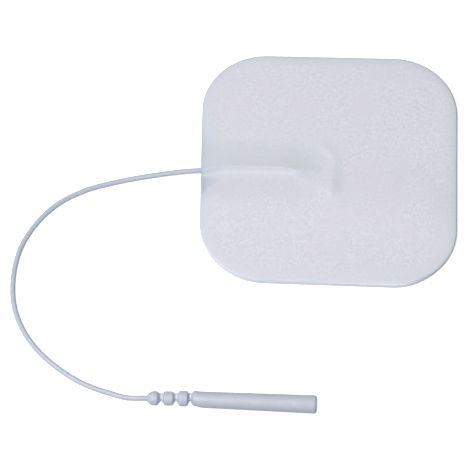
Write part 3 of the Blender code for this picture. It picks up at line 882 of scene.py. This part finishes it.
def relief_radius(along):
    """Radius of the beaded relief up to the barrel's shoulder. Each bead climbs from a neck to its
    crest by a quarter wave of sine, squared but for the first, and falls to the next neck the same
    way; the lesser of the two counts, with the crest between them rounded."""
    rounding = 0.24 * MM
    necks = (ENTRY_RADIUS, *NECK_RADII)
    starts = sums(BEAD_LENGTHS)
    radius = np.zeros_like(along)
    for k, crest in enumerate(BEAD_RADII):
        climb = np.sin(math.pi / 2 * np.clip((along - starts[k]) / BEAD_CLIMBS[k], 0.0, 1.0))
        fall = np.sin(math.pi / 2 * np.clip((starts[k + 1] - along) / BEAD_FALLS[k], 0.0, 1.0)) ** 2
        climb = climb if k == 0 else climb**2
        risen = necks[k] + (crest - necks[k]) * climb
        fallen = necks[k + 1] + (crest - necks[k + 1]) * fall
        inside = (along >= starts[k]) & (along <= starts[k + 1])
        level = (risen + fallen - np.sqrt((risen - fallen) ** 2 + rounding**2)) / 2 + rounding / 3
        radius = np.where(inside, np.maximum(level, np.minimum(necks[k], necks[k + 1])), radius)
    climb = np.sin(math.pi / 2 * np.clip((along - RELIEF_LENGTH) / SHOULDER_RISE, 0.0, 1.0)) ** 2
    shoulder = NECK_RADII[-1] + (SHOULDER_RADIUS - NECK_RADII[-1]) * climb
    return np.where(along > RELIEF_LENGTH, shoulder, radius)


class PAD_OT_plug(Operator):
    """Mould the plug: a beaded relief, a tapered barrel and the socket's pocket"""
    bl_idname = "pad.plug"
    bl_label = "Plug"

    def execute(self, context):
        plug = context.scene.plug_settings
        relief = np.linspace(0.0, RELIEF_LENGTH + SHOULDER_RISE, 141)
        shoulder = np.linspace(0.0, 1.0, 14)[1:]
        shoulder_at = RELIEF_LENGTH + SHOULDER_RISE + BARREL_EASE * shoulder
        shoulder_radius = BARREL_START_RADIUS - (BARREL_START_RADIUS - SHOULDER_RADIUS) * (1 - shoulder) ** 2
        turn = np.linspace(0.0, math.pi / 2, 12)
        end_at = PLUG_LENGTH - END_ROUNDING * (1.0 - np.sin(turn))
        end_radius = BARREL_END_RADIUS - END_ROUNDING * (1.0 - np.cos(turn))
        pocket_end = PLUG_LENGTH - SLEEVE_RECESS
        pocket_start = pocket_end - SLEEVE_LENGTH - 2 * SLEEVE_GAP
        # A profile of distances and radii, from the lead's seat over the skin and into the socket
        chamfer = 0.1 * MM
        seat = ((SEAT_DEPTH, CLOSED_RADIUS), (SEAT_DEPTH, SEAT_RADIUS), (0.0, SEAT_RADIUS))
        socket = ((PLUG_LENGTH, MOUTH_RADIUS + 0.8 * chamfer), (PLUG_LENGTH - chamfer, MOUTH_RADIUS),
                  (pocket_end, MOUTH_RADIUS), (pocket_end, POCKET_RADIUS),
                  (pocket_start, POCKET_RADIUS), (pocket_start, CLOSED_RADIUS))
        skin = np.column_stack((np.concatenate((relief, shoulder_at, end_at)),
                                np.concatenate((relief_radius(relief), shoulder_radius, end_radius))))
        along, radius = np.vstack((seat, skin, socket)).T
        centre, side, up = plug_frames(along)
        # The necks and the shoulder sit away from the near side, and a fine seam runs along the skin
        in_relief = (along > 0.8 * MM) & (along < RELIEF_LENGTH + SHOULDER_RISE)
        narrow = np.clip(1.0 - (radius - min(NECK_RADII)) / min(NECK_RADII), 0.0, 1.0) * in_relief
        set_back = 0.20 * MM * hill(along, RELIEF_LENGTH + SHOULDER_RISE, 0.9 * MM)
        centre = centre + side * (plug.neck_shift * narrow + set_back)[:, None]
        angle = np.arange(plug.sides) * 2.0 * math.pi / plug.sides
        seam = np.exp(-((np.sin(angle - math.radians(12)) / 0.03) ** 2))
        inner = 0.05 * MM
        outside = ((along > inner) & (along < PLUG_LENGTH - inner) & (radius > 0.6 * MM)
                   & (np.arange(len(along)) < len(seat) + len(skin)))
        radii = radius[:, None] + plug.seam_height * seam[None, :] * outside[:, None]
        rings = turned_surface(centre, side, up, radii)
        # The last number is the share of painted shade at the start of the barrel
        material = soft_plastic("moulded_plastic", plug.color, 500.0, 0.12, 0.03)
        piece = add_piece("plug_moulding", "plug_body", rings.reshape(-1, 3),
                          capped_faces(len(along), plug.sides), material)
        # The share of painted light that makes the necks paler
        keep_value(piece, "neck_painted_light", np.repeat(narrow, plug.sides))
        return {"FINISHED"}


class PAD_OT_contact(Operator):
    """Draw the metal sleeve that takes the pin"""
    bl_idname = "pad.contact"
    bl_label = "Contact"

    def execute(self, context):
        plug = context.scene.plug_settings
        end = PLUG_LENGTH - SLEEVE_RECESS - SLEEVE_GAP
        start = end - SLEEVE_LENGTH
        # A closed profile of distances and radii, with a bevelled rim
        bevel = 0.04 * MM
        along, radius = np.array((
            (start, SLEEVE_RADIUS), (end - bevel, SLEEVE_RADIUS), (end, SLEEVE_RADIUS - bevel),
            (end, SLEEVE_BORE + 1.5 * bevel), (end - 2.5 * bevel, SLEEVE_BORE + 0.5 * bevel),
            (end - 7.5 * bevel, SLEEVE_BORE), (start, SLEEVE_BORE), (start, SLEEVE_RADIUS))).T
        centre, side, up = plug_frames(along)
        rings = turned_surface(centre, side, up, np.repeat(radius[:, None], plug.sides, axis=1))
        faces = [grid_quads(len(along), plug.sides, round_columns=True)]
        add_piece("contact_sleeve", "socket_sleeve", rings.reshape(-1, 3), faces,
                  contact_material(plug.contact_color))
        return {"FINISHED"}


class PAD_OT_lead(Operator):
    """Draw the lead from its end in the pad to the plug"""
    bl_idname = "pad.lead"
    bl_label = "Lead"

    def execute(self, context):
        lead = context.scene.lead_settings
        radius = lead.diameter / 2
        ends, _, _ = plug_frames(np.array([0.0, LEAD_SEAT]))
        line_z = FILM_HIGH.z + LAYER_GAP + radius
        fall = line_z - radius
        rise = ends[0, 2] - radius
        points = [(x, lead_line(x), line_z) for x in np.linspace(JACKET_END_X, -HALF_SIDE, 9)]
        points += [(x * MM, y * MM, radius + share * fall) for x, y, share in LEAD_DROP]
        points += [(x * MM, y * MM, radius) for x, y in LEAD_FLOOR]
        points += [(x * MM, y * MM, radius + share * rise) for x, y, share in LEAD_RISE]
        line = smooth_line(np.array(points + [ends[0], ends[1]]), 0.4 * MM)
        line[:, 2] = np.maximum(line[:, 2], radius)
        rings, faces = capped_tube(line, radius, lead.sides)
        # The jacket has no painted shade at the barrel's start; the bluish painted shade towards the table
        # still falls on it
        material = soft_plastic("drawn_jacket", lead.color, 900.0, 0.06, 0.0)
        piece = add_piece("lead_jacket", "lead_wire", rings, faces, material)
        return {"FINISHED"}


class PAD_OT_stage(Operator):
    """Set the table, the lamps and the camera"""
    bl_idname = "pad.stage"
    bl_label = "Stage"

    def execute(self, context):
        stage = context.scene.stage_settings
        add_floor()
        add_camera(context.scene, stage)
        add_lamp("key_lamp", KEY_PLACE, KEY_SIZE, stage.key_strength, KEY_TINT)
        add_lamp("top_lamp", TOP_PLACE, TOP_SIZE, stage.top_strength, FILL_TINT)
        context.scene.world = studio_sky(stage.sky_strength)
        context.scene.view_settings.view_transform = "Standard"
        return {"FINISHED"}


def studio_sky(strength):
    """Even light from all round that cameras, gloss and glass see as plain white."""
    graph = Graph("studio_sky", world=True)
    return graph.finish(Color=graph.mix(graph.seen_by_viewer(), shade(FILL_TINT, strength), WHITE))


def add_floor():
    """A wide pale floor just under the gel; cameras, gloss and glass see it brighter by a little
    light of its own, so that it is white but keeps the object's shadow."""
    mesh = bpy.data.meshes.new("floor")
    signs = ((-1, -1), (1, -1), (1, 1), (-1, 1))
    corners = [(x * FLOOR_HALF, y * FLOOR_HALF, FLOOR_LEVEL) for x, y in signs]
    mesh.from_pydata(corners, [], [(0, 1, 2, 3)])
    floor = bpy.data.objects.new("floor", mesh)
    bpy.context.scene.collection.objects.link(floor)
    graph = Graph("pale_floor")
    glow = graph.mix(graph.seen_by_viewer(), BLACK, shade(WHITE, FLOOR_GLOW))
    floor.data.materials.append(graph.finish(
        Base_Color=FLOOR_COLOR, Roughness=1.0, Specular_IOR_Level=0.0,
        Emission_Color=glow, Emission_Strength=1.0))


def add_lamp(name, place, size, radiance, color):
    """A square soft lamp that faces the pad; its power follows from its radiance and area."""
    lamp = bpy.data.lights.new(name, "AREA")
    lamp.shape = "SQUARE"
    lamp.size = size
    lamp.energy = 4.0 * radiance * size * size
    lamp.color = color
    item = bpy.data.objects.new(name, lamp)
    item.location = place
    item.rotation_euler = (-Vector(place)).to_track_quat("-Z", "Y").to_euler()
    bpy.context.scene.collection.objects.link(item)


def add_camera(scene, stage):
    """A long lens at the photograph's angle: the view direction follows from elevation and azimuth,
    and the roll turns the camera about it."""
    target = Vector(LOOK_AT)
    level = math.cos(stage.elevation)
    forward = Vector((math.sin(stage.azimuth) * level, math.cos(stage.azimuth) * level,
                      -math.sin(stage.elevation)))
    right = forward.cross(Vector((0.0, 0.0, 1.0))).normalized()
    up = right.cross(forward)
    turned_right = math.cos(stage.roll) * right + math.sin(stage.roll) * up
    turned_up = math.cos(stage.roll) * up - math.sin(stage.roll) * right
    data = bpy.data.cameras.new("camera")
    data.sensor_width = 36.0
    data.lens = stage.lens
    data.clip_start = 0.05
    data.clip_end = 50.0
    camera = bpy.data.objects.new("camera", data)
    turn = Matrix((turned_right, turned_up, -forward)).transposed()
    camera.matrix_world = Matrix.Translation(target - forward * stage.distance) @ turn.to_4x4()
    scene.collection.objects.link(camera)
    scene.camera = camera


class PAD_PT_panel(Panel):
    """Lists the pieces and their sizes"""
    bl_idname = "PAD_PT_panel"
    bl_label = "Stimulation Pad"
    bl_space_type = "VIEW_3D"
    bl_region_type = "UI"
    bl_category = "Pad"

    def draw(self, context):
        for step in STEPS:
            self.layout.operator(step.bl_idname)
        for name in SETTINGS:
            box = self.layout.box()
            settings = getattr(context.scene, name)
            for prop in settings.bl_rna.properties:
                if prop.identifier not in {"rna_type", "name"}:
                    box.prop(settings, prop.identifier)


SETTINGS = {
    "pad_settings": PadSettings,
    "lead_settings": LeadSettings,
    "plug_settings": PlugSettings,
    "stage_settings": StageSettings,
}
STEPS = (PAD_OT_stage, PAD_OT_plug, PAD_OT_contact, PAD_OT_lead, PAD_OT_strands, PAD_OT_film, PAD_OT_gel,
         PAD_OT_cloth)
CLASSES = (*SETTINGS.values(), *STEPS, PAD_PT_panel)


def register():
    for item in CLASSES:
        bpy.utils.register_class(item)
    for name, group in SETTINGS.items():
        setattr(bpy.types.Scene, name, PointerProperty(type=group))


def unregister():
    for name in SETTINGS:
        delattr(bpy.types.Scene, name)
    for item in reversed(CLASSES):
        bpy.utils.unregister_class(item)


def main():
    register()
    bpy.ops.pad.stage()
    bpy.ops.pad.plug()
    bpy.ops.pad.contact()
    bpy.ops.pad.lead()
    bpy.ops.pad.strands()
    bpy.ops.pad.film()
    bpy.ops.pad.gel()
    bpy.ops.pad.cloth()


if __name__ == "__main__":
    main()
